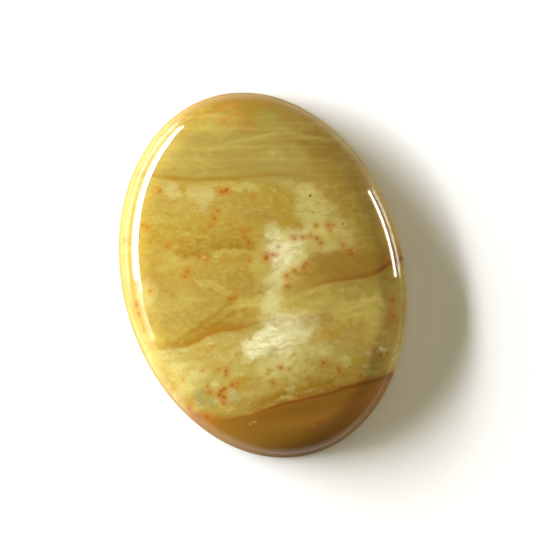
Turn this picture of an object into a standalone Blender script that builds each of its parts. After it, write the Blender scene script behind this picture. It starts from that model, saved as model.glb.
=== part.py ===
"""Picture jasper cabochon: one oval stone with a flat back, a tapered side wall, a rounded
shoulder and a low polished dome.

Metres, +Z up. The long axis runs along Y, and the origin is the middle of the flat back.
"""

import math
from collections import namedtuple

import bmesh
import bpy

# Driving sizes of the cut stone
LENGTH = 0.0400
WIDTH = 0.0303
THICKNESS = 0.0060
BACK_CHAMFER = 0.0004
WALL_HEIGHT = 0.0014
WALL_TAPER = math.radians(9)
EDGE_RADIUS = 0.0024
EDGE_END_TILT = math.radians(47)
SHOULDER_RADIUS = 0.0052
SHOULDER_END_TILT = math.radians(14)

# The hand-cut top sits this far to +X of the back
TOP_SHIFT = 0.00018

# How finely the solid is faceted
SEGMENTS = 96
EDGE_RINGS = 5
SHOULDER_RINGS = 6
DOME_RINGS = 10
SHARP_ANGLE = math.radians(30)

# Finish
STONE_NAME = "cabochon"
STONE_COLOUR = (0.46, 0.33, 0.10, 1.0)
STONE_ROUGHNESS = 0.12

Oval = namedtuple("Oval", "half_width half_length shift height")


def clear_scene():
    """Removes every object that the file opens with."""
    for obj in list(bpy.data.objects):
        bpy.data.objects.remove(obj, do_unlink=True)


def drawn_in(oval, inset, rise, shift=0.0):
    """Another oval, smaller by the same distance all the way round, higher, and moved along X."""
    return Oval(
        oval.half_width - inset, oval.half_length - inset, oval.shift + shift, oval.height + rise
    )


def arc_ovals(start, radius, start_tilt, end_tilt, rings):
    """Rings of a round arc that leads up and in from one oval, from one slope to another."""
    ovals = []
    for step in range(1, rings + 1):
        tilt = start_tilt + (end_tilt - start_tilt) * step / rings
        inset = radius * (math.sin(start_tilt) - math.sin(tilt))
        rise = radius * (math.cos(tilt) - math.cos(start_tilt))
        ovals.append(drawn_in(start, inset, rise))
    return ovals


def dome_ovals(edge):
    """Rings of the dome, which rises as a shallow parabola from its edge to the crown."""
    full_rise = THICKNESS - edge.height
    ovals = []
    for step in range(1, DOME_RINGS):
        share = 1 - step / DOME_RINGS
        height = edge.height + full_rise * (1 - share**2)
        ovals.append(Oval(edge.half_width * share, edge.half_length * share, edge.shift, height))
    return ovals


def side_ovals():
    """Every ring from the girdle, the widest oval, up to the crown."""
    girdle = Oval(WIDTH / 2, LENGTH / 2, 0, BACK_CHAMFER)
    wall_top = drawn_in(girdle, WALL_HEIGHT * math.tan(WALL_TAPER), WALL_HEIGHT, TOP_SHIFT)
    wall_tilt = math.pi / 2 - WALL_TAPER
    edge = arc_ovals(wall_top, EDGE_RADIUS, wall_tilt, EDGE_END_TILT, EDGE_RINGS)
    shoulder = arc_ovals(
        edge[-1], SHOULDER_RADIUS, EDGE_END_TILT, SHOULDER_END_TILT, SHOULDER_RINGS
    )
    return [girdle, wall_top] + edge + shoulder + dome_ovals(shoulder[-1])


def move_ring(bm, verts, start, end):
    """Scales and moves one ring of points from the oval it is on to another."""
    stretch = (end.half_width / start.half_width, end.half_length / start.half_length, 1)
    bmesh.ops.translate(bm, vec=(-start.shift, 0, -start.height), verts=verts)
    bmesh.ops.scale(bm, vec=stretch, verts=verts)
    bmesh.ops.translate(bm, vec=(end.shift, 0, end.height), verts=verts)


def build_stone_mesh():
    """Starts from a short cylinder, draws its top up ring by ring and closes it at the crown."""
    ovals = side_ovals()
    back = drawn_in(ovals[0], BACK_CHAMFER, -BACK_CHAMFER)

    bm = bmesh.new()
    bmesh.ops.create_cone(
        bm, cap_ends=True, segments=SEGMENTS, radius1=1, radius2=1, depth=BACK_CHAMFER
    )
    bmesh.ops.translate(bm, vec=(0, 0, BACK_CHAMFER / 2), verts=bm.verts)
    caps = sorted((f for f in bm.faces if len(f.verts) == SEGMENTS), key=lambda f: f.normal.z)
    move_ring(bm, caps[0].verts[:], Oval(1, 1, 0, 0), back)
    move_ring(bm, caps[1].verts[:], Oval(1, 1, 0, BACK_CHAMFER), ovals[0])

    cap = caps[1]
    for start, end in zip(ovals, ovals[1:]):
        cap = bmesh.ops.extrude_discrete_faces(bm, faces=[cap])["faces"][0]
        move_ring(bm, cap.verts[:], start, end)
    crown = bmesh.ops.poke(bm, faces=[cap])["verts"][0]
    crown.co.z = THICKNESS

    mesh = bpy.data.meshes.new(STONE_NAME)
    bm.to_mesh(mesh)
    bm.free()
    mesh.shade_smooth()
    mesh.set_sharp_from_angle(angle=SHARP_ANGLE)
    return mesh


def polished_jasper():
    """Tan picture jasper with a glassy polish."""
    material = bpy.data.materials.new("polished_picture_jasper")
    material.use_nodes = True
    shader = material.node_tree.nodes["Principled BSDF"]
    shader.inputs["Base Color"].default_value = STONE_COLOUR
    shader.inputs["Roughness"].default_value = STONE_ROUGHNESS
    shader.inputs["Metallic"].default_value = 0.0
    return material


def main():
    clear_scene()
    collection = bpy.data.collections.new("picture_jasper_cabochon")
    bpy.context.scene.collection.children.link(collection)
    stone = bpy.data.objects.new(STONE_NAME, build_stone_mesh())
    stone.data.materials.append(polished_jasper())
    collection.objects.link(stone)


if __name__ == "__main__":
    main()
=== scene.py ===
"""Looks of the picture jasper cabochon: the polished stone on a pale floor in soft studio light.

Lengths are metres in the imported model's frame, unless a name ends in _mm. The marks of the stone are
placed in its bedding frame, in mm: u runs along the beds, to the photograph's right, and v across
them, to the photograph's top.
"""

import logging
import math
from collections.abc import Callable
from dataclasses import dataclass, field
from enum import Enum

import bmesh
import bpy
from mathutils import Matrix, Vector


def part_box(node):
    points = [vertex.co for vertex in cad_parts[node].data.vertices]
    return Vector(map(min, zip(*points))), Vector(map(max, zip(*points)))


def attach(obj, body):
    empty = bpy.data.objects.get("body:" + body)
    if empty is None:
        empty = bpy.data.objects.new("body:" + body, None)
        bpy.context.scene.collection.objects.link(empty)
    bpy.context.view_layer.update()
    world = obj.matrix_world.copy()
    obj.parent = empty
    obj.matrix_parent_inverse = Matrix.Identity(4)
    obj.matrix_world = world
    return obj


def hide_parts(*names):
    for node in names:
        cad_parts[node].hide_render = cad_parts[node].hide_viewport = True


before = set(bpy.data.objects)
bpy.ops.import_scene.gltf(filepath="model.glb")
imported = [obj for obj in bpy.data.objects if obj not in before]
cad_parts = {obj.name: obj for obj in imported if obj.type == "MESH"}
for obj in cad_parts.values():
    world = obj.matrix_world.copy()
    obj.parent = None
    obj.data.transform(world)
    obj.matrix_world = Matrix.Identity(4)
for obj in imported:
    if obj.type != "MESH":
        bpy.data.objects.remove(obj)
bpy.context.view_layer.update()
log = logging.getLogger("cabochon")

# The photograph: its side, its scale at the floor, and how far the stone leans in it
IMAGE_SIDE_PX = 533
PX_PER_METRE = 9270.0
LEAN = math.radians(15.3)

# What a square metre of an area light takes, in watts, for each unit of radiance
WATTS_PER_RADIANCE = 4.0

MM_PER_METRE = 1000.0

# The pattern: how far it spans, how deep a cloud goes, how wide a zone's edge fades, how far the cap
# reaches, and the fine shape of the noise that makes edges ragged
PATTERN_SPAN_MM = 44.0
CLOUD_DEPTH_MM = 3.5
ZONE_EDGE_MM = 1.2
CAP_REACH_MM = 60.0
WAVER_DETAIL = 3.0
WAVER_ROUGHNESS = 0.55

PHOTO_RIGHT = Vector((math.cos(LEAN), -math.sin(LEAN), 0))
PHOTO_UP = Vector((math.sin(LEAN), math.cos(LEAN), 0))


def linear(hex_colour: str) -> tuple[float, float, float, float]:
    """Turns an sRGB hex colour into Blender's linear RGBA.

    Args:
        hex_colour: The colour, as # and six digits.

    Returns:
        Red, green, blue and a full alpha, by the sRGB curve.
    """
    channels = [int(hex_colour[i : i + 2], 16) / 255 for i in (1, 3, 5)]
    turned = [c / 12.92 if c <= 0.04045 else ((c + 0.055) / 1.055) ** 2.4 for c in channels]
    return (turned[0], turned[1], turned[2], 1.0)


def add_node(
    tree: bpy.types.NodeTree,
    kind: str,
    settings: dict[str, str] | None = None,
    **links: bpy.types.NodeSocket | float | tuple[float, ...],
) -> bpy.types.Node:
    """Adds one node with its settings and its inputs.

    Args:
        tree: The node tree that the node goes into.
        kind: The node's type name, without the leading ShaderNode.
        settings: Properties to set on the node itself.
        links: Inputs by position, as in0, in1 and so on. A socket is linked and a value is set.

    Returns:
        The new node.
    """
    node = tree.nodes.new("ShaderNode" + kind)
    for name, value in (settings or {}).items():
        setattr(node, name, value)
    for name, value in links.items():
        socket = node.inputs[int(name[2:])]
        if isinstance(value, bpy.types.NodeSocket):
            tree.links.new(value, socket)
        else:
            socket.default_value = value
    return node


class Tone(Enum):
    """The colours of the stone's beds, clouds, seams and specks."""

    TOP_RIM = "#806320"
    OLIVE_TAN = "#927F3D"
    DULL_TAN = "#8F7C39"
    GOLDEN_TAN = "#978138"
    WARM_TAN = "#9A8033"
    STRAW = "#A8954C"
    STRAW_GREEN = "#A79C50"
    GOLDEN = "#9A802B"
    DEEP_GOLD = "#8A6819"
    GOLD_BROWN = "#85671B"
    BAND_BROWN = "#8E6716"
    SEAM_BROWN = "#8A4F10"
    SEAM_ORANGE = "#9C6414"
    SEAM_RED = "#6A3208"
    HONEY = "#A8842C"
    ORANGE_TAN = "#A67831"
    STROKE_ORANGE = "#A8672A"
    OLIVE = "#837A35"
    PALE_TAN = "#B0A456"
    BUTTER = "#C0AE5A"
    AMBER = "#B88F40"
    CREAM = "#B9AD68"
    CHIP_CREAM = "#AA9D60"
    PALE_CREAM = "#CAC388"
    CHALK = "#E0DEB2"
    GREY_CREAM = "#B0AA7C"
    GREY_GREEN = "#877F4A"
    CAP_CARAMEL = "#865D19"
    CAP_LIGHT = "#966324"
    CAP_DARK = "#664009"
    RUST = "#8A480E"
    RUST_HALO = "#A56A1C"
    PIT = "#4A2E14"
    WALL_STAIN = "#7C5E1C"


@dataclass
class Ground:
    """The stone's colour as it is laid on, with the places that its marks read, in bedding mm.

    Clouds and veils read the cloudy places, which waver most, specks the ragged ones, and fine grain
    the calm ones. Seams read how far along and across the beds they are, as shares of the span.
    """

    tree: bpy.types.NodeTree
    cloudy: bpy.types.NodeSocket
    ragged: bpy.types.NodeSocket
    calm: bpy.types.NodeSocket
    along: bpy.types.NodeSocket
    across: bpy.types.NodeSocket
    colour: bpy.types.NodeSocket
    turned: dict[float, bpy.types.NodeSocket] = field(default_factory=dict)

    def blend(self, tone: Tone, share: bpy.types.NodeSocket) -> None:
        """Lays a tone over the colour so far, by a share that the nodes work out."""
        self.colour = add_node(
            self.tree, "Mix", {"data_type": "RGBA"}, in0=share, in6=self.colour, in7=linear(tone.value)
        ).outputs[2]

    def leaning(self, turn_deg: float) -> bpy.types.NodeSocket:
        """Gives the cloudy places in a frame that leans by an angle, made once for each angle.

        Args:
            turn_deg: How far the frame's long direction rises, in degrees.

        Returns:
            The places in that frame.
        """
        if turn_deg not in self.turned:
            turn = math.radians(turn_deg)
            sides = ((math.cos(turn), math.sin(turn), 0), (-math.sin(turn), math.cos(turn), 0), (0, 0, 1))
            parts = [
                add_node(
                    self.tree, "VectorMath", {"operation": "DOT_PRODUCT"}, in0=self.cloudy, in1=side
                ).outputs["Value"]
                for side in sides
            ]
            self.turned[turn_deg] = add_node(
                self.tree, "CombineXYZ", in0=parts[0], in1=parts[1], in2=parts[2]
            ).outputs[0]
        return self.turned[turn_deg]


@dataclass(frozen=True)
class Patch:
    """A soft oval cloud of one tone. At its half sizes it is at half its strength."""

    tone: Tone
    centre: tuple[float, float]
    half: tuple[float, float]
    turn_deg: float
    strength: float
    soft: float

    def lay(self, ground: Ground) -> None:
        """Lays the cloud on the ground.

        Args:
            ground: The colour so far and the places to read.
        """
        tree = ground.tree
        turn = math.radians(self.turn_deg)
        along = self.centre[0] * math.cos(turn) + self.centre[1] * math.sin(turn)
        across = self.centre[1] * math.cos(turn) - self.centre[0] * math.sin(turn)
        shrink = (1 / self.half[0], 1 / self.half[1], 1 / CLOUD_DEPTH_MM)
        local = add_node(
            tree, "VectorMath", {"operation": "MULTIPLY_ADD"}, in0=ground.leaning(self.turn_deg),
            in1=shrink, in2=(-along * shrink[0], -across * shrink[1], 0),
        ).outputs[0]
        radius = add_node(tree, "VectorMath", {"operation": "LENGTH"}, in0=local).outputs["Value"]
        share = add_node(
            tree, "MapRange", {"interpolation_type": "SMOOTHSTEP"},
            in0=radius, in1=1 - self.soft / 2, in2=1 + self.soft / 2, in3=self.strength, in4=0.0,
        ).outputs[0]
        ground.blend(self.tone, share)


@dataclass(frozen=True)
class Seam:
    """A line or band along a bed, given by points of u, v and strength, with a fade to each side."""

    tone: Tone
    path: tuple[tuple[float, float, float], ...]
    above: float
    below: float

    @staticmethod
    def curve(ground: Ground, points: list[tuple[float, float]]) -> bpy.types.NodeSocket:
        """Adds a curve over the distance along the beds.

        Args:
            ground: The ground that the seam is laid on.
            points: Places along the beds as shares of the pattern's span, and the values there.

        Returns:
            The socket that gives the curve's value.
        """
        node = add_node(ground.tree, "FloatCurve", in1=ground.along)
        line = node.mapping.curves[0].points
        line[0].location, line[1].location = points[0], points[-1]
        for point in points[1:-1]:
            line.new(*point)
        node.mapping.extend = "HORIZONTAL"
        node.mapping.update()
        return node.outputs[0]

    def lay(self, ground: Ground) -> None:
        """Lays the seam on the ground.

        Args:
            ground: The colour so far and the places to read.
        """
        tree = ground.tree
        middle = self.curve(ground, [(share_of_reach(u), share_of_reach(v)) for u, v, _ in self.path])
        strength = self.curve(ground, [(share_of_reach(u), power) for u, _, power in self.path])
        off = add_node(tree, "Math", {"operation": "SUBTRACT"}, in0=ground.across, in1=middle).outputs[0]
        smooth = {"interpolation_type": "SMOOTHSTEP"}
        below = add_node(
            tree, "MapRange", smooth,
            in0=off, in1=-self.below / PATTERN_SPAN_MM, in2=0.0, in3=0.0, in4=strength,
        ).outputs[0]
        share = add_node(
            tree, "MapRange", smooth, in0=off, in1=0.0, in2=self.above / PATTERN_SPAN_MM, in3=below, in4=0.0
        ).outputs[0]
        ground.blend(self.tone, share)


@dataclass(frozen=True)
class Veil:
    """Streaks, mottling or grain of one tone over the whole stone or a zone of it.

    The sizes are the lengths of its grains along and across the beds, in mm. It starts to show where
    the noise is at low and is at its full strength where it is at high. A calm veil reads the places
    that waver least, so that its streaks run straight and its grains stay round.
    """

    tone: Tone
    sizes: tuple[float, float]
    turn_deg: float
    low: float
    high: float
    strength: float
    zone: tuple[float, float] = (-30.0, 30.0)
    detail: float = 4.0
    roughness: float = 0.6
    seed: float = 0.0
    calm: bool = False

    def lay(self, ground: Ground) -> None:
        """Lays the veil on the ground.

        Args:
            ground: The colour so far and the places to read.
        """
        tree = ground.tree
        place = ground.calm if self.calm else ground.leaning(self.turn_deg)
        shrink = (1 / self.sizes[0], 1 / self.sizes[1], 1 / self.sizes[1])
        local = add_node(
            tree, "VectorMath", {"operation": "MULTIPLY_ADD"}, in0=place,
            in1=shrink, in2=(self.seed, self.seed, 0),
        ).outputs[0]
        noise = add_node(
            tree, "TexNoise", in0=local, in2=1.0, in3=self.detail, in4=self.roughness
        ).outputs[0]
        low, high = (share_of_reach(end) for end in self.zone)
        edge = ZONE_EDGE_MM / PATTERN_SPAN_MM
        rising = add_node(
            tree, "MapRange", in0=ground.across, in1=low, in2=low + edge, in3=0.0, in4=self.strength
        ).outputs[0]
        power = add_node(
            tree, "MapRange", in0=ground.across, in1=high - edge, in2=high, in3=rising, in4=0.0
        ).outputs[0]
        share = add_node(
            tree, "MapRange", {"interpolation_type": "SMOOTHSTEP"},
            in0=noise, in1=self.low, in2=self.high, in3=0.0, in4=power,
        ).outputs[0]
        ground.blend(self.tone, share)


@dataclass(frozen=True)
class Flecks:
    """Specks of one size, at the places given: a core in a weaker stain.

    Each is at its full strength out to a share of its radius, and fades from there.
    """

    core: Tone
    stain: Tone
    core_mm: float
    stain_mm: float
    strength: float
    places: tuple[tuple[float, float], ...]
    stain_share: float = 0.7
    full_share: float = 0.2

    def lay(self, ground: Ground) -> None:
        """Lays the specks on the ground.

        Args:
            ground: The colour so far and the places to read.
        """
        tree = ground.tree
        nearest: bpy.types.NodeSocket | float = PATTERN_SPAN_MM
        for spot in self.places:
            distance = add_node(
                tree, "VectorMath", {"operation": "DISTANCE"}, in0=ground.ragged, in1=(*spot, 0)
            ).outputs["Value"]
            nearest = add_node(tree, "Math", {"operation": "MINIMUM"}, in0=distance, in1=nearest).outputs[0]
        rings = (
            (self.stain, self.stain_mm, self.strength * self.stain_share),
            (self.core, self.core_mm, self.strength),
        )
        for tone, size, strength in rings:
            share = add_node(
                tree, "MapRange", {"interpolation_type": "SMOOTHSTEP"},
                in0=nearest, in1=size * self.full_share, in2=size, in3=strength, in4=0.0,
            ).outputs[0]
            ground.blend(tone, share)


def share_of_reach(distance_mm: float) -> float:
    """Turns a distance from the stone's middle into a share of the pattern's span, from 0 to 1."""
    return distance_mm / PATTERN_SPAN_MM + 0.5


def wavered(
    tree: bpy.types.NodeTree,
    place: bpy.types.NodeSocket,
    start: bpy.types.NodeSocket,
    grain_mm: float,
    reach_mm: float,
) -> bpy.types.NodeSocket:
    """Moves places by noise, so that the edges of what is drawn there turn ragged.

    Args:
        tree: The node tree.
        place: The places that the noise reads.
        start: The places to move.
        grain_mm: The size of the noise's swirls.
        reach_mm: How far the noise moves a place, from its least to its greatest value.

    Returns:
        The moved places.
    """
    noise = add_node(
        tree, "TexNoise", in0=place, in2=1 / grain_mm, in3=WAVER_DETAIL, in4=WAVER_ROUGHNESS
    )
    step = (reach_mm, reach_mm, reach_mm)
    back = (-reach_mm / 2, -reach_mm / 2, -reach_mm / 2)
    move = add_node(
        tree, "VectorMath", {"operation": "MULTIPLY_ADD"}, in0=noise.outputs["Color"], in1=step, in2=back
    ).outputs[0]
    return add_node(tree, "VectorMath", {"operation": "ADD"}, in0=start, in1=move).outputs[0]


# The clouds, from the top of the stone to its foot
CLOUDS = (
    Patch(Tone.STRAW_GREEN, (-7.8, 11.9), (3.2, 0.9), 0, 0.55, 1.0),
    Patch(Tone.STRAW, (-4.4, 16.2), (2.2, 1.2), 20, 0.6, 1.0),
    Patch(Tone.GOLD_BROWN, (-6.4, 17.6), (2.6, 0.7), 20, 0.6, 1.0),
    Patch(Tone.STROKE_ORANGE, (-5.2, 17.5), (2.4, 0.22), 20, 0.4, 1.0),
    Patch(Tone.STROKE_ORANGE, (-3.6, 16.9), (1.9, 0.2), 40, 0.4, 1.0),
    Patch(Tone.STROKE_ORANGE, (-2.7, 16.5), (1.9, 0.2), 40, 0.4, 1.0),
    Patch(Tone.STROKE_ORANGE, (-1.8, 16.3), (1.8, 0.2), 40, 0.45, 1.0),
    Patch(Tone.STROKE_ORANGE, (-0.9, 16.3), (1.4, 0.2), 40, 0.4, 1.0),
    Patch(Tone.OLIVE, (0.5, 16.8), (1.6, 1.0), -10, 0.7, 1.0),
    Patch(Tone.GOLD_BROWN, (4.3, 16.0), (2.4, 1.1), -20, 0.7, 1.0),
    Patch(Tone.GOLD_BROWN, (4.4, 14.4), (2.6, 0.5), -10, 0.7, 0.9),
    Patch(Tone.GOLD_BROWN, (7.0, 12.4), (2.8, 2.0), -20, 0.75, 1.0),
    Patch(Tone.DEEP_GOLD, (8.4, 10.2), (1.6, 2.4), 20, 0.7, 1.0),
    Patch(Tone.GOLD_BROWN, (10.8, 6.6), (1.4, 3.4), 10, 0.6, 1.0),
    Patch(Tone.PALE_TAN, (1.0, 12.9), (1.4, 0.5), 0, 0.35, 1.0),
    Patch(Tone.WARM_TAN, (4.6, 11.2), (1.6, 0.9), -30, 0.5, 1.0),
    Patch(Tone.CHIP_CREAM, (-9.7, 8.9), (1.1, 0.9), -20, 0.85, 0.7),
    Patch(Tone.CHIP_CREAM, (-6.5, 8.7), (1.3, 1.0), 0, 0.8, 0.7),
    Patch(Tone.CHIP_CREAM, (-6.0, 7.6), (0.8, 1.0), 0, 0.7, 0.9),
    Patch(Tone.PALE_TAN, (-2.6, 9.4), (2.6, 0.4), 0, 0.6, 0.9),
    Patch(Tone.GOLDEN, (0.6, 8.3), (2.4, 0.9), 10, 0.7, 0.9),
    Patch(Tone.GOLDEN, (-5.3, 5.9), (2.6, 0.8), -10, 0.55, 1.0),
    Patch(Tone.DEEP_GOLD, (-5.6, 5.0), (3.4, 0.5), 0, 0.4, 1.0),
    Patch(Tone.GOLDEN, (2.6, 6.6), (1.6, 1.5), 0, 0.6, 0.9),
    Patch(Tone.DEEP_GOLD, (-0.4, 6.3), (1.3, 0.5), -10, 0.5, 1.0),
    Patch(Tone.CREAM, (3.2, 9.6), (1.7, 0.6), -10, 0.45, 1.0),
    Patch(Tone.CREAM, (5.4, 8.2), (1.8, 1.0), -40, 0.85, 0.9),
    Patch(Tone.CREAM, (6.6, 6.4), (2.0, 1.3), -50, 0.7, 1.0),
    Patch(Tone.CREAM, (7.7, 4.2), (2.2, 1.6), 0, 0.75, 1.0),
    Patch(Tone.GOLDEN, (2.2, 6.2), (0.9, 1.0), 10, 0.6, 1.0),
    Patch(Tone.CREAM, (4.4, 6.8), (0.9, 1.3), 20, 0.7, 1.0),
    Patch(Tone.CREAM, (6.2, 4.9), (1.7, 1.1), 10, 0.95, 1.0),
    Patch(Tone.PALE_CREAM, (4.6, 4.8), (1.6, 0.9), 10, 0.9, 1.0),
    Patch(Tone.CREAM, (5.6, 3.0), (1.9, 0.9), 0, 0.8, 1.0),
    Patch(Tone.PALE_CREAM, (1.6, 4.0), (1.2, 1.3), 20, 0.9, 0.9),
    Patch(Tone.GREY_CREAM, (1.0, 4.7), (0.7, 0.8), 0, 0.7, 0.9),
    Patch(Tone.CHALK, (2.6, 2.5), (2.0, 1.0), 30, 0.8, 0.9),
    Patch(Tone.CHALK, (2.4, 0.6), (1.3, 1.4), 30, 0.75, 1.0),
    Patch(Tone.CHALK, (1.4, 3.2), (1.3, 1.2), 30, 0.7, 1.0),
    Patch(Tone.PALE_CREAM, (1.3, -0.9), (1.1, 1.8), -10, 0.8, 1.0),
    Patch(Tone.PALE_CREAM, (0.8, -3.3), (1.6, 1.5), 10, 0.75, 1.0),
    Patch(Tone.CHALK, (3.1, -5.6), (2.7, 1.7), 10, 1.0, 1.0),
    Patch(Tone.CHALK, (0.2, -6.9), (2.3, 1.0), 20, 0.85, 0.9),
    Patch(Tone.CHALK, (-0.2, -8.1), (1.8, 0.8), 20, 0.75, 1.0),
    Patch(Tone.CHALK, (3.0, -8.1), (1.9, 0.8), 0, 0.75, 1.0),
    Patch(Tone.GREY_CREAM, (0.9, -8.3), (0.7, 0.7), 0, 0.7, 0.8),
    Patch(Tone.PALE_CREAM, (4.6, -6.0), (2.2, 1.1), 0, 0.75, 1.0),
    Patch(Tone.CREAM, (5.0, -7.6), (2.4, 1.0), -20, 0.8, 1.0),
    Patch(Tone.BUTTER, (4.6, -2.6), (3.0, 2.0), 20, 0.6, 1.0),
    Patch(Tone.BUTTER, (4.0, 0.4), (1.8, 1.1), 30, 0.9, 1.0),
    Patch(Tone.PALE_TAN, (10.0, -2.3), (2.9, 1.0), 10, 0.7, 0.9),
    Patch(Tone.CREAM, (11.2, -3.5), (2.2, 0.9), 10, 0.8, 1.0),
    Patch(Tone.HONEY, (8.6, -5.2), (3.0, 1.0), 20, 0.7, 1.0),
    Patch(Tone.BUTTER, (10.2, -3.8), (3.2, 1.3), 20, 0.9, 1.0),
    Patch(Tone.HONEY, (6.8, -6.4), (1.9, 0.9), 10, 0.5, 0.9),
    Patch(Tone.AMBER, (11.0, -6.2), (2.0, 1.0), 20, 0.7, 1.0),
    Patch(Tone.BUTTER, (12.5, -4.8), (1.7, 2.0), 0, 0.85, 1.0),
    Patch(Tone.ORANGE_TAN, (13.8, -4.6), (0.7, 2.4), 10, 0.8, 1.0),
    Patch(Tone.DEEP_GOLD, (-4.6, 2.7), (4.4, 1.0), 0, 0.55, 1.0),
    Patch(Tone.DEEP_GOLD, (-4.4, 3.5), (5.2, 0.55), 0, 0.85, 0.9),
    Patch(Tone.DEEP_GOLD, (-7.4, 2.4), (1.8, 0.35), 0, 0.7, 0.9),
    Patch(Tone.DEEP_GOLD, (-1.4, 2.9), (1.2, 0.35), 0, 0.6, 0.9),
    Patch(Tone.PALE_TAN, (-0.3, 1.4), (0.8, 2.6), 0, 0.6, 1.0),
    Patch(Tone.PALE_TAN, (-3.4, 2.4), (2.6, 0.4), 0, 0.5, 1.0),
    Patch(Tone.STRAW, (-9.0, 1.0), (2.0, 0.8), 10, 0.5, 1.0),
    Patch(Tone.PALE_TAN, (-4.4, -1.5), (1.8, 0.35), -30, 0.7, 0.9),
    Patch(Tone.PALE_TAN, (-6.8, -0.6), (1.2, 0.3), -30, 0.6, 0.9),
    Patch(Tone.STRAW, (-9.2, -2.9), (2.2, 1.2), 20, 0.55, 1.0),
    Patch(Tone.DEEP_GOLD, (-2.4, -2.4), (1.5, 0.3), 0, 0.5, 1.0),
    Patch(Tone.BUTTER, (-1.1, -3.6), (2.2, 1.2), 20, 0.75, 1.0),
    Patch(Tone.BAND_BROWN, (-3.2, -4.7), (2.9, 0.75), 20, 0.75, 0.9),
    Patch(Tone.BAND_BROWN, (-6.8, -6.0), (2.4, 0.8), 30, 0.75, 1.0),
    Patch(Tone.GOLDEN, (-9.4, -6.4), (1.9, 1.0), 10, 0.7, 0.9),
    Patch(Tone.CHIP_CREAM, (-10.0, -8.9), (1.5, 0.9), -20, 0.9, 0.7),
    Patch(Tone.CREAM, (-8.6, -10.6), (1.5, 1.0), -40, 0.75, 0.8),
    Patch(Tone.CREAM, (-6.9, -11.9), (1.2, 0.8), -40, 0.65, 0.8),
    Patch(Tone.HONEY, (-6.0, -7.9), (1.8, 0.5), 20, 0.6, 0.9),
    Patch(Tone.STRAW_GREEN, (-3.3, -10.5), (2.2, 0.6), 20, 0.6, 0.9),
    Patch(Tone.CREAM, (-6.9, -10.3), (1.3, 0.8), -20, 0.7, 1.0),
    Patch(Tone.HONEY, (-1.4, -10.9), (2.2, 0.6), 20, 0.6, 0.9),
    Patch(Tone.GREY_GREEN, (-6.2, -13.4), (1.3, 1.1), -20, 0.9, 0.7),
    Patch(Tone.STRAW_GREEN, (-4.5, -12.5), (1.4, 1.3), -20, 0.7, 1.0),
    Patch(Tone.GREY_CREAM, (-3.2, -12.9), (0.9, 0.6), -30, 0.7, 0.9),
    Patch(Tone.CREAM, (-3.6, -14.1), (1.0, 0.3), -10, 0.5, 0.9),
    Patch(Tone.DEEP_GOLD, (0.6, -13.4), (2.8, 0.8), 10, 0.85, 1.0),
    Patch(Tone.STRAW_GREEN, (3.9, -8.9), (1.8, 0.7), 0, 0.6, 1.0),
    Patch(Tone.CREAM, (1.8, -10.0), (2.6, 1.3), 20, 0.95, 1.0),
    Patch(Tone.STRAW, (-0.3, -12.2), (1.8, 0.7), 20, 0.6, 1.0),
    Patch(Tone.GOLDEN, (6.0, -10.3), (2.2, 0.8), 10, 0.6, 0.9),
    Patch(Tone.DEEP_GOLD, (5.4, -12.1), (4.6, 0.8), 20, 0.85, 1.0),
    Patch(Tone.PALE_TAN, (3.0, -13.2), (1.0, 0.35), 10, 0.7, 0.8),
    Patch(Tone.GOLDEN, (10.4, -9.4), (2.2, 1.3), 10, 0.8, 1.0),
    Patch(Tone.GOLD_BROWN, (12.0, -9.9), (1.6, 0.8), 20, 0.6, 1.0),
    Patch(Tone.CREAM, (9.0, -9.1), (0.8, 0.6), 20, 0.7, 0.9),
    Patch(Tone.GREY_CREAM, (11.4, -8.4), (0.9, 0.4), 10, 0.65, 0.9),
    Patch(Tone.CHALK, (12.7, -8.0), (0.45, 0.25), 0, 0.85, 0.7),
    Patch(Tone.OLIVE_TAN, (11.8, -10.1), (1.4, 0.6), 20, 0.6, 0.9),
)

# Clouds that are laid over the mottling, so that they stay clear of it. The one on the left rim is a
# painted highlight
CLEAR_CLOUDS = (
    Patch(Tone.CHALK, (3.3, -6.2), (1.3, 1.1), 0, 0.35, 1.0),
    Patch(Tone.PALE_CREAM, (4.0, 1.8), (0.9, 0.8), 0, 0.55, 1.0),
    Patch(Tone.PALE_CREAM, (2.1, -0.1), (0.8, 0.9), 0, 0.5, 1.0),
    Patch(Tone.PALE_CREAM, (0.8, -3.3), (1.0, 0.9), 0, 0.5, 1.0),
    Patch(Tone.PALE_CREAM, (2.1, -9.1), (0.9, 0.7), 0, 0.4, 1.0),
    Patch(Tone.CREAM, (5.9, 5.7), (0.9, 0.9), 0, 0.55, 1.0),
    Patch(Tone.CREAM, (4.6, 8.2), (0.9, 0.8), 0, 0.45, 1.0),
    Patch(Tone.CREAM, (4.6, -7.8), (1.0, 0.7), 0, 0.5, 1.0),
    Patch(Tone.CREAM, (-8.5, -12.3), (0.9, 1.2), 0, 0.5, 1.0),
    # A painted highlight: paler where the left window's reflection spreads over the rim
    Patch(Tone.CREAM, (-12.3, -2.0), (0.9, 1.4), 0, 0.5, 1.0),
    Patch(Tone.BUTTER, (6.6, 4.5), (1.1, 0.8), 0, 0.5, 1.0),
    Patch(Tone.BUTTER, (11.0, -3.3), (0.9, 0.9), 0, 0.5, 1.0),
    Patch(Tone.DEEP_GOLD, (-4.3, 3.7), (0.9, 0.6), 0, 0.45, 1.0),
    Patch(Tone.DEEP_GOLD, (6.5, 15.3), (1.1, 0.9), 0, 0.5, 1.0),
    Patch(Tone.DEEP_GOLD, (10.4, 11.4), (1.1, 1.1), 0, 0.5, 1.0),
    Patch(Tone.DEEP_GOLD, (-4.4, -15.6), (1.4, 0.8), 0, 0.4, 1.0),
)

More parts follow.
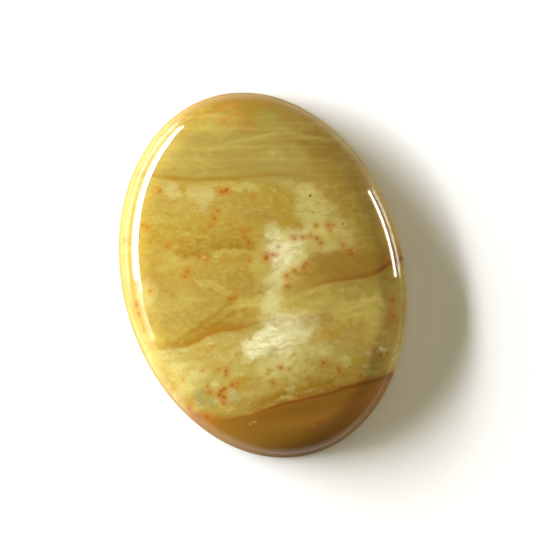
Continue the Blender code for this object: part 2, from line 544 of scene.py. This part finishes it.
# The seams and bands between the beds, and the brown cap below the lowest of them
SEAMS = (
    Seam(Tone.DEEP_GOLD, ((-13.0, 10.7, 0.3), (-10.2, 10.4, 0.7), (-8.0, 10.2, 0.75), (-5.0, 10.2, 0.75),
         (-2.8, 10.35, 0.65), (0.0, 10.6, 0.55), (3.0, 10.7, 0.35), (6.0, 10.4, 0.0)), 0.45, 0.35),
    Seam(Tone.PALE_TAN, ((-5.5, 13.5, 0.0), (-3.4, 14.1, 0.25), (-1.2, 14.6, 0.35), (1.1, 15.1, 0.4),
         (2.6, 15.2, 0.25), (4.4, 14.9, 0.3), (7.4, 14.3, 0.0)), 0.35, 0.5),
    Seam(Tone.BAND_BROWN, ((3.2, -0.4, 0.0), (4.4, 0.7, 0.5), (5.8, 1.6, 0.6), (8.5, 1.9, 0.6),
         (12.6, 2.2, 0.7), (15.0, 2.6, 0.7)), 1.3, 3.0),
    Seam(Tone.BAND_BROWN, ((2.6, -2.4, 0.0), (4.2, -1.6, 0.35), (6.7, -0.8, 0.55), (8.8, -0.4, 0.65),
         (11.2, -0.1, 0.7), (12.4, 0.4, 0.8), (13.4, 1.1, 0.9), (15.4, 2.0, 0.9)), 2.6, 0.35),
    Seam(Tone.SEAM_BROWN, ((4.8, -1.2, 0.0), (6.7, -0.8, 0.35), (8.8, -0.4, 0.45), (11.2, -0.1, 0.5),
         (12.4, 0.4, 0.7), (13.4, 1.0, 0.8), (15.4, 1.9, 0.8)), 0.5, 0.35),
    Seam(Tone.SEAM_RED, ((11.8, 0.2, 0.0), (12.9, 0.8, 0.7), (13.6, 1.2, 0.9), (15.4, 1.9, 0.8)),
         0.35, 0.3),
    Seam(Tone.BAND_BROWN, ((-11.6, -7.8, 0.0), (-10.4, -7.8, 0.6), (-8.7, -7.6, 0.65), (-7.2, -7.2, 0.75),
         (-6.0, -6.4, 0.8), (-4.3, -5.9, 0.75), (-2.1, -5.6, 0.6), (-0.3, -4.9, 0.0)), 1.1, 0.3),
    Seam(Tone.BAND_BROWN, ((-9.4, -7.3, 0.0), (-8.2, -6.3, 0.45), (-6.4, -5.1, 0.5), (-4.8, -4.0, 0.5),
         (-3.4, -2.7, 0.35), (-2.6, -2.0, 0.0)), 0.35, 0.6),
    Seam(Tone.SEAM_ORANGE, ((-8.0, -7.5, 0.0), (-6.8, -7.0, 0.5), (-5.0, -6.1, 0.6), (-3.4, -5.8, 0.55),
         (-2.1, -5.6, 0.4), (-0.8, -5.2, 0.0)), 0.7, 0.25),
    Seam(Tone.CAP_CARAMEL, ((-9.6, -14.3, 0.9), (-8.2, -14.7, 0.95), (-6.4, -15.3, 0.97),
         (-4.7, -15.6, 0.97), (-2.8, -15.3, 0.97), (-1.1, -14.9, 0.97), (1.0, -14.1, 0.97),
         (2.7, -13.6, 0.97), (6.2, -12.8, 0.97), (9.5, -11.8, 0.97), (12.8, -10.9, 0.97),
         (15.0, -10.3, 0.97)), 0.25, CAP_REACH_MM),
    Seam(Tone.CAP_DARK, ((-2.0, -15.8, 0.0), (1.0, -14.9, 0.35), (4.0, -14.2, 0.4), (6.5, -13.6, 0.25),
         (8.5, -13.1, 0.0)), 0.9, 1.6),
    Seam(Tone.CAP_DARK, ((-2.0, -19.4, 0.0), (2.0, -18.9, 0.3), (5.0, -18.2, 0.3), (8.0, -17.0, 0.1),
         (10.0, -15.6, 0.0)), 1.4, 2.6),
    Seam(Tone.CAP_LIGHT, ((3.0, -16.4, 0.0), (5.5, -15.7, 0.4), (8.6, -14.5, 0.9), (11.0, -13.2, 0.9),
         (13.0, -12.2, 0.5)), 1.3, 1.9),
    Seam(Tone.SEAM_BROWN, ((-7.2, -15.0, 0.5), (-5.4, -15.4, 0.6), (-2.8, -15.3, 0.3),
         (-0.5, -14.7, 0.4), (1.0, -14.2, 0.55), (15.0, -10.4, 0.55)), 0.8, 0.55),
    Seam(Tone.SEAM_RED, ((-0.6, -14.8, 0.0), (1.0, -14.2, 0.25), (2.7, -13.7, 0.45), (4.6, -13.2, 0.5),
         (7.9, -12.4, 0.6), (9.5, -11.9, 0.6), (12.8, -11.1, 0.4), (14.6, -10.6, 0.2)), 0.28, 0.35),
    Seam(Tone.SEAM_BROWN, ((1.2, -8.0, 0.0), (1.9, -7.9, 0.35), (2.7, -7.6, 0.35), (3.4, -7.5, 0.15),
         (4.1, -7.4, 0.25), (4.6, -7.4, 0.0)), 0.2, 0.3),
    Seam(Tone.DEEP_GOLD, ((0.2, -13.7, 0.0), (1.8, -12.8, 0.6), (3.6, -12.3, 0.6), (5.4, -11.9, 0.5),
         (7.8, -11.0, 0.0)), 0.35, 0.35),
)

# The streaks and mottling of the beds. The grain of chalcedony is too fine to show, so the last two
# veils draw it as coarse as the eye takes in, at 0.7 mm
VEILS = (
    Veil(Tone.GOLD_BROWN, (14.0, 1.0), 0, 0.42, 0.74, 0.45, (9.8, 24.0), detail=2.0, seed=3.0, calm=True),
    Veil(Tone.PALE_TAN, (16.0, 0.7), 0, 0.44, 0.76, 0.28, (9.8, 17.5), detail=1.0, seed=11.0, calm=True),
    Veil(Tone.GOLDEN, (10.0, 0.35), 0, 0.44, 0.80, 0.26, (2.0, 18.5), detail=1.0, seed=19.0, calm=True),
    Veil(Tone.PALE_TAN, (5.0, 1.4), 0, 0.50, 0.80, 0.32, (-7.0, 10.5), detail=2.0, seed=5.0),
    Veil(Tone.GOLDEN, (6.0, 1.3), 10, 0.46, 0.70, 0.55, (-7.0, 10.5), seed=8.0),
    Veil(Tone.DEEP_GOLD, (3.0, 0.9), 0, 0.48, 0.80, 0.45, (-7.0, 10.5), detail=2.0, seed=17.0),
    Veil(Tone.PALE_CREAM, (2.4, 0.9), 20, 0.52, 0.74, 0.50, (-15.5, -5.5), seed=2.0),
    Veil(Tone.GOLDEN, (2.6, 0.8), 20, 0.48, 0.70, 0.65, (-15.5, -5.5), seed=14.0),
    Veil(Tone.CAP_LIGHT, (5.0, 1.4), 10, 0.48, 0.76, 0.45, (-24.0, -11.5), seed=21.0),
    Veil(Tone.STROKE_ORANGE, (1.1, 0.7), 0, 0.50, 0.76, 0.38, (-15.5, 10.5), seed=27.0),
    Veil(Tone.STRAW_GREEN, (2.5, 1.0), 0, 0.50, 0.76, 0.40, (9.8, 18.5), seed=33.0),
    Veil(Tone.STRAW_GREEN, (1.8, 1.1), 0, 0.46, 0.76, 0.45, (-15.5, 10.5), detail=2.0, seed=29.0),
    Veil(Tone.BUTTER, (0.7, 0.45), 0, 0.42, 0.86, 0.24, (-15.5, 10.5), detail=1.0, seed=31.0, calm=True),
    Veil(Tone.DEEP_GOLD, (0.7, 0.45), 0, 0.42, 0.86, 0.28, (-30.0, 30.0), detail=2.0, seed=37.0, calm=True),
)

# Rusty specks of three sizes, dark pits, and chips of pale and light brown stone
FLECKS = (
    Flecks(Tone.RUST, Tone.RUST_HALO, 0.36, 1.0, 0.8, (
        (-4.3, 8.9), (-3.9, 9.1), (-4.4, -12.4), (-4.6, -12.8), (-4.1, -12.2), (-4.2, -13.1),
        (0.4, 1.9), (13.6, 1.3), (-7.9, -14.3), (-6.0, -15.2))),
    Flecks(Tone.RUST, Tone.RUST_HALO, 0.28, 0.85, 0.62, (
        (-4.8, 6.9), (-5.1, 6.1), (-11.0, 9.0), (-12.8, 5.4), (-12.4, 5.1), (-10.2, 3.1), (-8.0, 0.4),
        (-8.3, -0.2), (-6.1, 1.7), (-1.9, 3.9), (-2.1, 4.6), (-1.5, 3.5), (1.1, 2.2), (3.4, 3.9),
        (4.3, 4.0), (5.8, 3.9), (6.2, 3.4), (7.0, 5.3), (5.7, 5.3), (8.6, 3.2), (9.4, 2.6), (9.5, 2.2),
        (4.6, 1.2), (4.3, 0.9), (3.5, 0.5), (2.5, -0.1), (2.6, -1.2), (-12.0, -1.7), (-3.4, -2.5),
        (-13.5, -3.2), (-13.3, -4.1), (-3.9, -10.2), (-3.9, -10.7), (-3.2, -11.8), (-4.2, -13.7),
        (-5.6, -12.6), (-5.2, -15.8), (1.1, -11.4), (2.0, -9.9), (6.5, -9.4), (8.1, -10.0),
        (8.2, -10.3), (10.4, -10.8), (11.9, -8.1), (12.6, -8.6), (13.3, -8.3), (13.9, -2.6),
        (14.0, -4.4), (-14.7, 3.7))),
    Flecks(Tone.RUST, Tone.RUST_HALO, 0.2, 0.7, 0.5, (
        (-1.0, 8.3), (-1.6, 4.9), (1.7, 3.0), (5.1, 4.4), (7.2, 4.7), (2.9, -0.4), (10.5, -1.2),
        (-6.4, -10.1), (-8.5, -11.2), (-3.0, -14.1), (-5.9, -11.9), (2.9, -10.0), (10.9, -8.7),
        (-4.8, -10.1), (-9.6, -2.2), (-6.8, 1.8), (-3.0, -2.4), (-1.4, 1.6), (4.0, 5.2), (7.5, 5.4),
        (9.9, 2.5), (14.4, -4.9), (4.8, -11.1), (-2.7, -11.5), (-9.4, 10.3), (-5.6, 5.4))),
    Flecks(Tone.PIT, Tone.GOLDEN, 0.22, 0.34, 0.95, ((5.07, 8.55),)),
    Flecks(Tone.PIT, Tone.GOLDEN, 0.14, 0.24, 0.9, ((5.34, 6.7), (8.6, 5.5), (13.2, 10.0))),
    Flecks(Tone.CHALK, Tone.CREAM, 0.22, 0.5, 0.16, (
        (1.3, 9.0), (9.9, 2.6), (6.9, 9.6), (1.0, 13.0), (-6.2, 1.9), (8.4, -1.5))),
    Flecks(Tone.CREAM, Tone.CAP_LIGHT, 0.18, 0.34, 0.5, (
        (-1.3, -15.9), (-1.0, -15.8), (-0.75, -15.75), (5.3, -16.1))),
)


@dataclass(frozen=True)
class PolishedJasper:
    """Picture jasper: opaque chalcedony laid down in beds and stained by iron, wheel-polished.

    To the eye that gives dull ochre beds and pale clouds, rusty specks and seams, all under one thin
    glassy gloss that mirrors the windows with sharp edges. A little light gets into the stone and
    softens its marks. The wall and the back are only ground, so they are dull, and darker brown is
    laid on them towards the foot.

    The grains and reaches say how finely and how far noise moves the places that its clouds, the
    sweep of its beds, its seams and its flecks are drawn at.
    """

    name: str = "polished_picture_jasper"
    ior: float = 1.54
    roughness: float = 0.05
    ground_roughness: float = 0.85
    ground_top_mm: float = 2.3
    gloss_blend_mm: float = 0.2
    darkening_depths_mm: tuple[float, float] = (0.6, 1.5)
    darkening_strength: float = 0.7
    glow_weight: float = 0.38
    glow_scale: float = 0.0012
    glow_radii: tuple[float, float, float] = (1.0, 0.7, 0.35)
    face_foot_mm: float = 2.2
    dip: float = 0.5
    cloud_grain_mm: float = 1.5
    cloud_reach_mm: float = 2.0
    sweep_grain_mm: float = 5.0
    sweep_reach_mm: float = 1.4
    seam_grain_mm: float = 1.6
    seam_reach_mm: float = 0.45
    fleck_grain_mm: float = 0.6
    fleck_reach_mm: float = 0.6
    wave_grain_mm: float = 2.0
    wave_height_mm: float = 0.004
    beds: tuple[tuple[float, Tone], ...] = (
        (-14.0, Tone.GOLDEN_TAN),
        (-12.0, Tone.WARM_TAN),
        (-9.5, Tone.STRAW),
        (-7.0, Tone.STRAW),
        (-5.0, Tone.GOLDEN_TAN),
        (-2.0, Tone.GOLDEN_TAN),
        (1.5, Tone.WARM_TAN),
        (4.0, Tone.GOLDEN),
        (6.5, Tone.GOLDEN_TAN),
        (9.8, Tone.GOLDEN_TAN),
        (10.6, Tone.OLIVE_TAN),
        (13.5, Tone.OLIVE_TAN),
        (16.0, Tone.DULL_TAN),
        (18.0, Tone.GOLD_BROWN),
        (19.3, Tone.TOP_RIM),
    )

    def build(self) -> bpy.types.Material:
        """Makes the material.

        Returns:
            The material, with its nodes linked to its shader.
        """
        material = bpy.data.materials.new(self.name)
        material.use_nodes = True
        tree = material.node_tree
        place = self.bedding_place(tree)
        ground = self.lay_beds(tree, place)
        # How much darker brown goes on towards the foot of the wall and the back
        stain = self.darken_toward_foot(ground)
        for marks in (CLOUDS, VEILS, CLEAR_CLOUDS, SEAMS, FLECKS):
            for mark in marks:
                mark.lay(ground)
        # The darker brown towards the foot of the wall and the back, laid over all the marks
        ground.blend(Tone.WALL_STAIN, stain)
        shader = tree.nodes["Principled BSDF"]
        tree.links.new(ground.colour, shader.inputs["Base Color"])
        tree.links.new(self.waves(tree, place), shader.inputs["Normal"])
        tree.links.new(self.polish(tree), shader.inputs["Roughness"])
        shader.inputs["Subsurface Weight"].default_value = self.glow_weight
        shader.inputs["Subsurface Scale"].default_value = self.glow_scale
        shader.inputs["Subsurface Radius"].default_value = self.glow_radii
        shader.inputs["IOR"].default_value = self.ior
        return material

    def bedding_place(self, tree: bpy.types.NodeTree) -> bpy.types.NodeSocket:
        """Turns a place on the stone into its bedding frame.

        The third value is 0 over the whole face and counts the depth below it on the wall and the
        back. The beds dip, so on the wall and back they have moved across by a share of the depth.

        Args:
            tree: The material's node tree.

        Returns:
            The place along the beds, across them and below the face, in mm.
        """
        seen = add_node(tree, "TexCoord").outputs["Object"]
        scale = (MM_PER_METRE, MM_PER_METRE, MM_PER_METRE)
        turned = add_node(tree, "Mapping", in0=seen, in2=(0, 0, LEAN), in3=scale).outputs[0]
        along, across, height = add_node(tree, "SeparateXYZ", in0=turned).outputs
        depth = add_node(
            tree, "MapRange", in0=height, in1=0.0, in2=self.face_foot_mm, in3=self.face_foot_mm, in4=0.0
        ).outputs[0]
        dipped = add_node(
            tree, "Math", {"operation": "MULTIPLY_ADD"}, in0=depth, in1=self.dip, in2=across
        ).outputs[0]
        return add_node(tree, "CombineXYZ", in0=along, in1=dipped, in2=depth).outputs[0]

    def lay_beds(self, tree: bpy.types.NodeTree, place: bpy.types.NodeSocket) -> Ground:
        """Lays the beds, whose edges sweep up and down a little, and readies the places for marks.

        Args:
            tree: The material's node tree.
            place: The place in the bedding frame.

        Returns:
            The ground for the marks.
        """
        cloudy = wavered(tree, place, place, self.cloud_grain_mm, self.cloud_reach_mm)
        swept = wavered(tree, place, cloudy, self.sweep_grain_mm, self.sweep_reach_mm)
        ragged = wavered(tree, place, place, self.fleck_grain_mm, self.fleck_reach_mm)
        calm = wavered(tree, place, place, self.seam_grain_mm, self.seam_reach_mm)
        shares = []
        for spot, side in ((swept, (0, 1, 0)), (calm, (1, 0, 0)), (calm, (0, 1, 0))):
            distance = add_node(tree, "VectorMath", {"operation": "DOT_PRODUCT"}, in0=spot, in1=side)
            shares.append(add_node(
                tree, "MapRange", in0=distance.outputs["Value"],
                in1=-PATTERN_SPAN_MM / 2, in2=PATTERN_SPAN_MM / 2,
            ).outputs[0])
        ramp = add_node(tree, "ValToRGB", in0=shares[0])
        stops = ramp.color_ramp.elements
        for stop, (across, tone) in zip((stops[0], stops[1]), (self.beds[0], self.beds[-1])):
            stop.position = share_of_reach(across)
            stop.color = linear(tone.value)
        for across, tone in self.beds[1:-1]:
            stops.new(share_of_reach(across)).color = linear(tone.value)
        return Ground(tree, cloudy, ragged, calm, shares[1], shares[2], ramp.outputs[0])

    def darken_toward_foot(self, ground: Ground) -> bpy.types.NodeSocket:
        """Works out how much darker brown goes on the wall and the back, which grows with the depth.

        Args:
            ground: The ground, whose ragged places it reads.

        Returns:
            The share of the darker brown.
        """
        depth = add_node(
            ground.tree, "VectorMath", {"operation": "DOT_PRODUCT"}, in0=ground.ragged, in1=(0, 0, 1)
        ).outputs["Value"]
        return add_node(
            ground.tree, "MapRange", in0=depth, in1=self.darkening_depths_mm[0],
            in2=self.darkening_depths_mm[1], in3=0.0, in4=self.darkening_strength,
        ).outputs[0]

    def polish(self, tree: bpy.types.NodeTree) -> bpy.types.NodeSocket:
        """Tells the polished face from the wall and back, which keep the dull grind of the wheel.

        Args:
            tree: The material's node tree.

        Returns:
            The roughness.
        """
        seen = add_node(tree, "TexCoord").outputs["Object"]
        height = add_node(tree, "SeparateXYZ", in0=seen).outputs[2]
        low = self.ground_top_mm / MM_PER_METRE
        high = (self.ground_top_mm + self.gloss_blend_mm) / MM_PER_METRE
        return add_node(
            tree, "MapRange", in0=height, in1=low, in2=high,
            in3=self.ground_roughness, in4=self.roughness,
        ).outputs[0]

    def waves(self, tree: bpy.types.NodeTree, place: bpy.types.NodeSocket) -> bpy.types.NodeSocket:
        """Adds the faint unevenness that a polishing wheel leaves, which bends the windows' edges.

        Args:
            tree: The material's node tree.
            place: The place in the bedding frame.

        Returns:
            The surface's direction.
        """
        swell = add_node(tree, "TexNoise", in0=place, in2=1 / self.wave_grain_mm, in3=1.0).outputs[0]
        height = self.wave_height_mm / MM_PER_METRE
        return add_node(tree, "Bump", in0=1.0, in1=height, in3=swell).outputs[0]


@dataclass
class Cabochon:
    """The stone: an oval with a flat back, a leaning wall, a rounded shoulder and a low dome.

    Rings close to the widest line, a corner's width off, and on the back keep those edges crisp when
    the rings are turned into one smooth surface.
    """

    length: float
    width: float
    thickness: float
    back_chamfer: float = 0.0004
    wall_height: float = 0.0014
    wall_taper: float = math.radians(9)
    edge_radius: float = 0.0024
    edge_end_tilt: float = math.radians(47)
    shoulder_radius: float = 0.0052
    shoulder_end_tilt: float = math.radians(14)
    top_shift: float = 0.00018
    segments: int = 96
    edge_rings: int = 6
    shoulder_rings: int = 7
    dome_rings: int = 11
    crown_share: float = 0.2
    corner: float = 0.00006
    back_insets: tuple[float, float] = (0.0001, 0.0006)
    cap_normal: float = 0.9
    smoothing: int = 2
    centre_x: float = field(default=0.0, init=False)

    def profile(self) -> list[tuple[float, float]]:
        """Works out the side's rings from the girdle to the edge of the dome.

        Returns:
            The inset from the girdle and the height of each ring.
        """
        inset = self.wall_height * math.tan(self.wall_taper)
        rings = [
            (self.corner, self.back_chamfer - self.corner),
            (0.0, self.back_chamfer),
            (self.corner * math.tan(self.wall_taper), self.back_chamfer + self.corner),
            (inset, self.back_chamfer + self.wall_height),
        ]
        arcs = (
            (self.edge_radius, math.pi / 2 - self.wall_taper, self.edge_end_tilt, self.edge_rings),
            (self.shoulder_radius, self.edge_end_tilt, self.shoulder_end_tilt, self.shoulder_rings),
        )
        for radius, start, end, count in arcs:
            foot_inset, foot_height = rings[-1]
            for step in range(1, count + 1):
                tilt = start + (end - start) * step / count
                inset = foot_inset + radius * (math.sin(start) - math.sin(tilt))
                height = foot_height + radius * (math.cos(tilt) - math.cos(start))
                rings.append((inset, height))
        return rings

    def raise_ring(self, inset: float, rise: float, shift: float, half: list[float]) -> None:
        """Extrudes the selected cap, and lifts, moves and scales it to the next ring.

        Args:
            inset: How much smaller the next ring's half width and half length are.
            rise: How much higher the next ring is.
            shift: How far the next ring moves along X.
            half: The half width and half length, which are brought up to date.
        """
        bpy.ops.mesh.extrude_region_move(TRANSFORM_OT_translate={"value": (shift, 0, rise)})
        scale = ((half[0] - inset) / half[0], (half[1] - inset) / half[1], 1)
        self.centre_x += shift
        bpy.ops.transform.resize(value=scale, center_override=(self.centre_x, 0, 0))
        half[0] -= inset
        half[1] -= inset

    def build(self) -> bpy.types.Object:
        """Models the stone.

        Returns:
            The finished mesh object, at the origin.
        """
        bpy.ops.object.select_all(action="DESELECT")
        foot_height = self.back_chamfer - self.corner
        bpy.ops.mesh.primitive_cylinder_add(
            vertices=self.segments, radius=1, depth=foot_height, location=(0, 0, foot_height / 2)
        )
        stone = bpy.context.object
        stone.name = stone.data.name = "polished_stone"
        bpy.ops.object.transform_apply(location=True, rotation=True, scale=True)
        half = [self.width / 2 - self.corner, self.length / 2 - self.corner]

        bpy.ops.object.mode_set(mode="EDIT")
        self.select_faces(lambda face: True)
        bpy.ops.transform.resize(value=(half[0], half[1], 1), center_override=(0, 0, 0))
        self.select_faces(lambda face: face.normal.z < -self.cap_normal)
        scale = ((half[0] - foot_height) / half[0], (half[1] - foot_height) / half[1], 1)
        bpy.ops.transform.resize(value=scale, center_override=(0, 0, 0))
        for inset in self.back_insets:
            bpy.ops.mesh.inset(thickness=inset)
        self.select_faces(lambda face: face.normal.z > self.cap_normal)
        rings = self.profile()
        wall_top = self.back_chamfer + self.wall_height
        for below, above in zip(rings, rings[1:]):
            shift = self.top_shift if above[1] == wall_top else 0.0
            self.raise_ring(above[0] - below[0], above[1] - below[1], shift, half)
        self.crown(half, rings[-1][1])
        bpy.ops.mesh.select_all(action="SELECT")
        bpy.ops.mesh.normals_make_consistent(inside=False)
        bpy.ops.object.mode_set(mode="OBJECT")
        self.smooth(stone)
        return stone

    def crown(self, half: list[float], edge_height: float) -> None:
        """Closes the top with rings of a shallow dome and a grid of faces at the crown.

        Args:
            half: The half width and half length of the dome's edge.
            edge_height: The height of the dome's edge.
        """
        full_rise = self.thickness - edge_height
        edge = tuple(half)
        shares = [1 - (1 - self.crown_share) * i / self.dome_rings for i in range(self.dome_rings + 1)]
        for below, above in zip(shares, shares[1:]):
            rise = full_rise * (below**2 - above**2)
            bpy.ops.mesh.extrude_region_move(TRANSFORM_OT_translate={"value": (0, 0, rise)})
            scale = (above / below, above / below, 1)
            bpy.ops.transform.resize(value=scale, center_override=(self.centre_x, 0, 0))
        bpy.ops.mesh.delete(type="ONLY_FACE")
        bpy.ops.mesh.select_mode(type="EDGE")
        bpy.ops.mesh.select_all(action="DESELECT")
        bpy.ops.mesh.select_non_manifold()
        bpy.ops.mesh.fill_grid(span=self.segments // 4)
        mesh = bmesh.from_edit_mesh(bpy.context.object.data)
        for vertex in mesh.verts:
            if vertex.select:
                across = (vertex.co.x - self.centre_x) / edge[0]
                along = vertex.co.y / edge[1]
                vertex.co.z = edge_height + full_rise * (1 - across**2 - along**2)
        bmesh.update_edit_mesh(bpy.context.object.data)

    @staticmethod
    def select_faces(wanted: Callable[[bmesh.types.BMFace], bool]) -> None:
        """Selects faces of the mesh in edit mode.

        Args:
            wanted: A test that says yes to the faces to select.
        """
        bpy.ops.mesh.select_mode(type="FACE")
        bpy.ops.mesh.select_all(action="DESELECT")
        mesh = bmesh.from_edit_mesh(bpy.context.object.data)
        for face in mesh.faces:
            face.select_set(wanted(face))
        bmesh.update_edit_mesh(bpy.context.object.data)

    def smooth(self, stone: bpy.types.Object) -> None:
        """Turns the rings into one smooth surface.

        Args:
            stone: The stone's object, which is the active one.
        """
        rounding = stone.modifiers.new("rounding", "SUBSURF")
        rounding.levels = rounding.render_levels = self.smoothing
        bpy.ops.object.modifier_apply(modifier=rounding.name)
        bpy.ops.object.shade_smooth()


@dataclass(frozen=True)
class Window:
    """One upright rectangle of light in a wall, given by where it stands as seen from the stone.

    Angles round the stone are counted from the photograph's left, towards its top. The low and high
    ends are elevations, as seen square to the wall.
    """

    name: str
    wall_deg: float
    from_deg: float
    to_deg: float
    low_deg: float
    high_deg: float
    radiance: float
    colour: str = "#FFFFFF"
    distance: float = 0.8

    def build(self) -> None:
        """Adds the light, flat in its wall and hidden from the camera."""
        wall = math.radians(self.wall_deg)
        outward = -PHOTO_RIGHT * math.cos(wall) + PHOTO_UP * math.sin(wall)
        along = PHOTO_RIGHT * math.sin(wall) + PHOTO_UP * math.cos(wall)
        sides = [
            self.distance * math.tan(math.radians(end - self.wall_deg))
            for end in (self.from_deg, self.to_deg)
        ]
        low, high = (
            self.distance * math.tan(math.radians(end)) for end in (self.low_deg, self.high_deg)
        )
        width = sides[1] - sides[0]
        data = bpy.data.lights.new(self.name, "AREA")
        data.shape = "RECTANGLE"
        data.size = width
        data.size_y = high - low
        data.energy = self.radiance * WATTS_PER_RADIANCE * width * (high - low)
        data.color = linear(self.colour)[:3]
        light = bpy.data.objects.new(self.name, data)
        middle = along * (sides[0] + sides[1]) / 2
        light.location = outward * self.distance + middle + Vector((0, 0, (low + high) / 2))
        light.rotation_euler = outward.to_track_quat("Z", "Y").to_euler()
        light.visible_camera = False
        bpy.context.scene.collection.objects.link(light)


@dataclass(frozen=True)
class Studio:
    """White card to lie on, a big window to the left, a lamp to the right, and a warm room.

    The left window is several panes, because the rim of the stone mirrors a bright top, a duller
    middle and a faint foot.
    """

    floor_size: float = 6.0
    floor_colour: str = "#EAEAEA"
    floor_roughness: float = 0.2
    room_colour: str = "#FFF1BC"
    room_strength: float = 0.75
    room_base: float = 0.25
    room_bright_deg: float = 138.0
    windows: tuple[Window, ...] = (
        Window("window_top", -6, -5, 42, 22, 27, 86, "#F2F6FF"),
        Window("window_top_near", -6, -11, -5, 24.3, 27, 60, "#FFF9E8"),
        Window("window_top_far", -6, 42, 52, 20, 27, 28, "#F2F6FF"),
        Window("window_middle", -6, -8, 50, 10, 22, 16),
        Window("window_foot", -6, -26, 60, 5, 10, 3, "#FFF3D0"),
        Window("window_side", -6, -24, -5, 12, 24, 4.5),
        Window("window_sill", -6, -24, -11, 18, 21, 6),
        Window("lamp", 162.5, 151, 174, 6, 12, 23),
        Window("lamp_glow", 162.5, 151, 174, 12, 15.5, 5.5, "#FFE4BE"),
    )

    def build(self) -> None:
        """Builds the floor, the room's light and the windows."""
        bpy.ops.object.select_all(action="DESELECT")
        bpy.ops.mesh.primitive_plane_add(size=self.floor_size, location=(0, 0, 0))
        floor = bpy.context.object
        floor.name = floor.data.name = "floor"
        floor.data.materials.append(self.card())
        self.room()
        for window in self.windows:
            window.build()

    def card(self) -> bpy.types.Material:
        """Makes coated white card: pulp board under a smooth coat of clay and binder.

        To the eye that gives an even pale ground with a faint sheen.

        Returns:
            The material.
        """
        material = bpy.data.materials.new("coated_white_card")
        material.use_nodes = True
        shader = material.node_tree.nodes["Principled BSDF"]
        shader.inputs["Base Color"].default_value = linear(self.floor_colour)
        shader.inputs["Roughness"].default_value = self.floor_roughness
        return material

    def room(self) -> None:
        """Sets the warm light that the room sends back, stronger from the side with a pale wall."""
        world = bpy.data.worlds.new("room")
        world.use_nodes = True
        tree = world.node_tree
        bright = math.radians(self.room_bright_deg)
        side = -PHOTO_RIGHT * math.cos(bright) + PHOTO_UP * math.sin(bright)
        looked_at = add_node(tree, "TexCoord").outputs["Generated"]
        facing = add_node(tree, "VectorMath", {"operation": "DOT_PRODUCT"}, in0=looked_at, in1=side)
        share = add_node(
            tree, "MapRange", in0=facing.outputs["Value"], in1=0.0, in2=1.0, in3=self.room_base, in4=1.0
        )
        strength = add_node(
            tree, "Math", {"operation": "MULTIPLY"}, in0=share.outputs[0], in1=self.room_strength
        )
        background = tree.nodes["Background"]
        background.inputs["Color"].default_value = linear(self.room_colour)
        tree.links.new(strength.outputs[0], background.inputs["Strength"])
        bpy.context.scene.world = world


@dataclass(frozen=True)
class TopCamera:
    """A camera straight above the stone, at the photograph's framing."""

    height: float = 0.5
    sensor: float = 36.0
    clip_start: float = 0.01
    stone_x_px: float = 262.7
    stone_y_px: float = 275.0

    def build(self) -> None:
        """Adds the camera, turned so that the stone leans as it does in the photograph."""
        data = bpy.data.cameras.new("camera")
        data.sensor_width = self.sensor
        data.lens = self.sensor * self.height * PX_PER_METRE / IMAGE_SIDE_PX
        data.clip_start = self.clip_start
        camera = bpy.data.objects.new("camera", data)
        middle = IMAGE_SIDE_PX / 2
        right = (middle - self.stone_x_px) / PX_PER_METRE
        up = (self.stone_y_px - middle) / PX_PER_METRE
        camera.location = PHOTO_RIGHT * right + PHOTO_UP * up + Vector((0, 0, self.height))
        camera.rotation_euler = (0, 0, -LEAN)
        bpy.context.scene.collection.objects.link(camera)
        bpy.context.scene.camera = camera


def main() -> None:
    """Builds the stone to the CAD part's sizes, the studio and the camera, and logs faces and lights."""
    logging.basicConfig(level=logging.INFO, format="%(message)s")
    low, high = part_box("cabochon")
    width, length, thickness = (end - start for start, end in zip(low, high))
    stone = Cabochon(width=width, length=length, thickness=thickness).build()
    stone.data.materials.append(PolishedJasper().build())
    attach(stone, "root")
    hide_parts("cabochon")
    log.info("polished stone: %d faces", len(stone.data.polygons))
    studio = Studio()
    studio.build()
    log.info("studio: a floor of card and %d lights", len(studio.windows))
    TopCamera().build()
    bpy.context.scene.view_settings.view_transform = "Standard"


if __name__ == "__main__":
    main()
